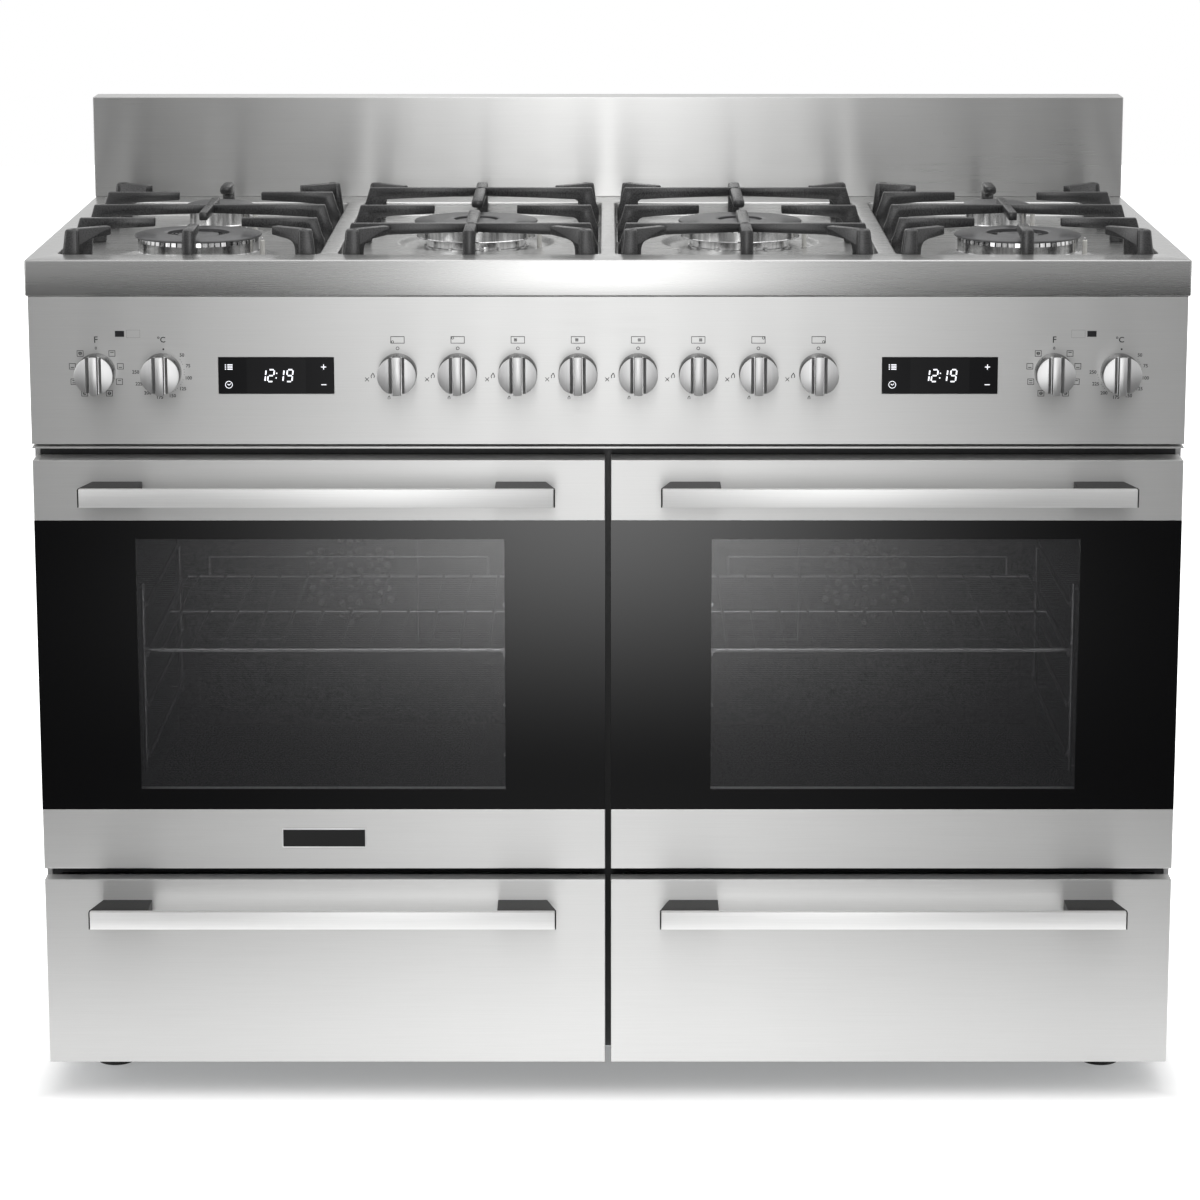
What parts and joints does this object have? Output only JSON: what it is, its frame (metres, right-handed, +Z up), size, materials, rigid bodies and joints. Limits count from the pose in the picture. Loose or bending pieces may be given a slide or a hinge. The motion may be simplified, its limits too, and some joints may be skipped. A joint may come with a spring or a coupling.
{
  "type": "range cooker",
  "caption": "Free-standing stainless steel range cooker: gas hob on cast pan supports, side-by-side ovens with glass doors over storage drawers, and a splashback.",
  "frame": {"origin": "centre of the overall box, handles included, at the floor", "axes": "+X to the right seen from the front, +Y to the rear, +Z up"},
  "size_m": [1.2, 0.644, 1.016],
  "materials": {
    "brushed_stainless": "fine horizontal brushing, satin",
    "handle_steel": "fine lengthwise brushing, brackets in black plastic",
    "galvanised_sheet": "zinc-coated sheet, dull",
    "black_enamel": "glossy vitreous enamel",
    "front_glass": "black printed border round a clear window",
    "inner_glass": "clear pane with a black printed border",
    "display_glass": "black glossy cover with white digits",
    "cast_iron": "matt dark grey enamel on cast iron",
    "burner_aluminium": "bright turned aluminium",
    "cap_enamel": "matt dark grey enamel",
    "knob_metal": "satin plated metal",
    "chromed_wire": "bright wire",
    "element_steel": "dark oxidised sheath",
    "fan_steel": "plain sheet steel",
    "tap_brass": "machined brass",
    "pipe_steel": "zinc-plated tube",
    "seal_rubber": "black silicone",
    "foot_plastic": "black moulded plastic"
  },
  "bodies": {
    "cabinet": {"body_panels": "brushed_stainless", "back_panel": "galvanised_sheet", "base_pan": "galvanised_sheet", "front_frame": "black_enamel", "levelling_feet": "foot_plastic", "hob_top": "brushed_stainless", "splashback": "brushed_stainless", "control_panel": "brushed_stainless", "timer_displays": "display_glass", "oven_cavity_left": "black_enamel", "oven_cavity_right": "black_enamel", "fan_covers": "black_enamel", "fan_motors": "fan_steel", "heating_elements": "element_steel", "side_racks": "chromed_wire", "oven_seals": "seal_rubber", "gas_pipework": "pipe_steel", "gas_taps": "tap_brass", "oven_switches": "galvanised_sheet", "burner_cups": "burner_aluminium", "flame_spreaders": "burner_aluminium", "burner_caps": "cap_enamel", "drawer_runners": "galvanised_sheet"},
    "door_left": {"door_frame_left": "brushed_stainless", "door_glass_left": "front_glass", "door_inner_glass_left": "inner_glass", "door_handle_left": "handle_steel", "door_hinges_left": "galvanised_sheet"},
    "drawer_left": {"drawer_front_left": "brushed_stainless", "drawer_box_left": "galvanised_sheet", "drawer_handle_left": "handle_steel"},
    "shelf_left": {"wire_shelf_left": "chromed_wire"},
    "fan_left": {"fan_wheel_left": "fan_steel"},
    "door_right": {"door_frame_right": "brushed_stainless", "door_glass_right": "front_glass", "door_inner_glass_right": "inner_glass", "door_handle_right": "handle_steel", "door_hinges_right": "galvanised_sheet"},
    "drawer_right": {"drawer_front_right": "brushed_stainless", "drawer_box_right": "galvanised_sheet", "drawer_handle_right": "handle_steel"},
    "shelf_right": {"wire_shelf_right": "chromed_wire"},
    "fan_right": {"fan_wheel_right": "fan_steel"},
    "grate_1": {"grate_1": "cast_iron"},
    "grate_2": {"grate_2": "cast_iron"},
    "grate_3": {"grate_3": "cast_iron"},
    "grate_4": {"grate_4": "cast_iron"},
    "gas_knob_1": {"gas_knob_1": "knob_metal"},
    "gas_knob_2": {"gas_knob_2": "knob_metal"},
    "gas_knob_3": {"gas_knob_3": "knob_metal"},
    "gas_knob_4": {"gas_knob_4": "knob_metal"},
    "gas_knob_5": {"gas_knob_5": "knob_metal"},
    "gas_knob_6": {"gas_knob_6": "knob_metal"},
    "gas_knob_7": {"gas_knob_7": "knob_metal"},
    "gas_knob_8": {"gas_knob_8": "knob_metal"},
    "function_knob_left": {"function_knob_left": "knob_metal"},
    "function_knob_right": {"function_knob_right": "knob_metal"},
    "temperature_knob_left": {"temperature_knob_left": "knob_metal"},
    "temperature_knob_right": {"temperature_knob_right": "knob_metal"}
  },
  "joints": [
    {"name": "door_left_hinge", "type": "hinge", "parent": "cabinet", "child": "door_left", "pos_m": [-0.3, -0.268, 0.261], "axis": [1, 0, 0], "range_deg": [0, 90], "stiffness_Nm_per_rad": 8, "springref_deg": -2.86},
    {"name": "drawer_left_slide", "type": "slide", "parent": "cabinet", "child": "drawer_left", "axis": [0, -1, 0], "range_m": [0, 0.32]},
    {"name": "shelf_left_slide", "type": "slide", "parent": "cabinet", "child": "shelf_left", "axis": [0, -1, 0], "range_m": [0, 0.16]},
    {"name": "fan_left_spin", "type": "hinge", "parent": "cabinet", "child": "fan_left", "pos_m": [-0.3, 0.182, 0.468], "axis": [0, 1, 0], "continuous": true},
    {"name": "door_right_hinge", "type": "hinge", "parent": "cabinet", "child": "door_right", "pos_m": [0.3, -0.268, 0.261], "axis": [1, 0, 0], "range_deg": [0, 90], "stiffness_Nm_per_rad": 8, "springref_deg": -2.86},
    {"name": "drawer_right_slide", "type": "slide", "parent": "cabinet", "child": "drawer_right", "axis": [0, -1, 0], "range_m": [0, 0.32]},
    {"name": "shelf_right_slide", "type": "slide", "parent": "cabinet", "child": "shelf_right", "axis": [0, -1, 0], "range_m": [0, 0.16]},
    {"name": "fan_right_spin", "type": "hinge", "parent": "cabinet", "child": "fan_right", "pos_m": [0.3, 0.182, 0.468], "axis": [0, 1, 0], "continuous": true},
    {"name": "grate_1_lift", "type": "slide", "parent": "cabinet", "child": "grate_1", "axis": [0, 0, 1], "range_m": [0, 0.08]},
    {"name": "grate_2_lift", "type": "slide", "parent": "cabinet", "child": "grate_2", "axis": [0, 0, 1], "range_m": [0, 0.08]},
    {"name": "grate_3_lift", "type": "slide", "parent": "cabinet", "child": "grate_3", "axis": [0, 0, 1], "range_m": [0, 0.08]},
    {"name": "grate_4_lift", "type": "slide", "parent": "cabinet", "child": "grate_4", "axis": [0, 0, 1], "range_m": [0, 0.08]},
    {"name": "gas_knob_1_turn", "type": "hinge", "parent": "cabinet", "child": "gas_knob_1", "pos_m": [-0.217, -0.278, 0.7835], "axis": [0, -1, 0], "range_deg": [0, 180]},
    {"name": "gas_knob_2_turn", "type": "hinge", "parent": "cabinet", "child": "gas_knob_2", "pos_m": [-0.155, -0.278, 0.7835], "axis": [0, -1, 0], "range_deg": [0, 180]},
    {"name": "gas_knob_3_turn", "type": "hinge", "parent": "cabinet", "child": "gas_knob_3", "pos_m": [-0.093, -0.278, 0.7835], "axis": [0, -1, 0], "range_deg": [0, 180]},
    {"name": "gas_knob_4_turn", "type": "hinge", "parent": "cabinet", "child": "gas_knob_4", "pos_m": [-0.031, -0.278, 0.7835], "axis": [0, -1, 0], "range_deg": [0, 180]},
    {"name": "gas_knob_5_turn", "type": "hinge", "parent": "cabinet", "child": "gas_knob_5", "pos_m": [0.031, -0.278, 0.7835], "axis": [0, -1, 0], "range_deg": [0, 180]},
    {"name": "gas_knob_6_turn", "type": "hinge", "parent": "cabinet", "child": "gas_knob_6", "pos_m": [0.093, -0.278, 0.7835], "axis": [0, -1, 0], "range_deg": [0, 180]},
    {"name": "gas_knob_7_turn", "type": "hinge", "parent": "cabinet", "child": "gas_knob_7", "pos_m": [0.155, -0.278, 0.7835], "axis": [0, -1, 0], "range_deg": [0, 180]},
    {"name": "gas_knob_8_turn", "type": "hinge", "parent": "cabinet", "child": "gas_knob_8", "pos_m": [0.217, -0.278, 0.7835], "axis": [0, -1, 0], "range_deg": [0, 180]},
    {"name": "function_knob_left_turn", "type": "hinge", "parent": "cabinet", "child": "function_knob_left", "pos_m": [-0.528, -0.278, 0.7835], "axis": [0, 1, 0], "continuous": true},
    {"name": "function_knob_right_turn", "type": "hinge", "parent": "cabinet", "child": "function_knob_right", "pos_m": [0.46, -0.278, 0.7835], "axis": [0, 1, 0], "continuous": true},
    {"name": "temperature_knob_left_turn", "type": "hinge", "parent": "cabinet", "child": "temperature_knob_left", "pos_m": [-0.46, -0.278, 0.7835], "axis": [0, 1, 0], "range_deg": [0, 270]},
    {"name": "temperature_knob_right_turn", "type": "hinge", "parent": "cabinet", "child": "temperature_knob_right", "pos_m": [0.528, -0.278, 0.7835], "axis": [0, 1, 0], "range_deg": [0, 270]}
  ],
  "couplings": [
    {"joint": "shelf_left_slide", "follows": "door_left_hinge", "m_per_rad": 0.1},
    {"joint": "shelf_right_slide", "follows": "door_right_hinge", "m_per_rad": 0.1}
  ]
}
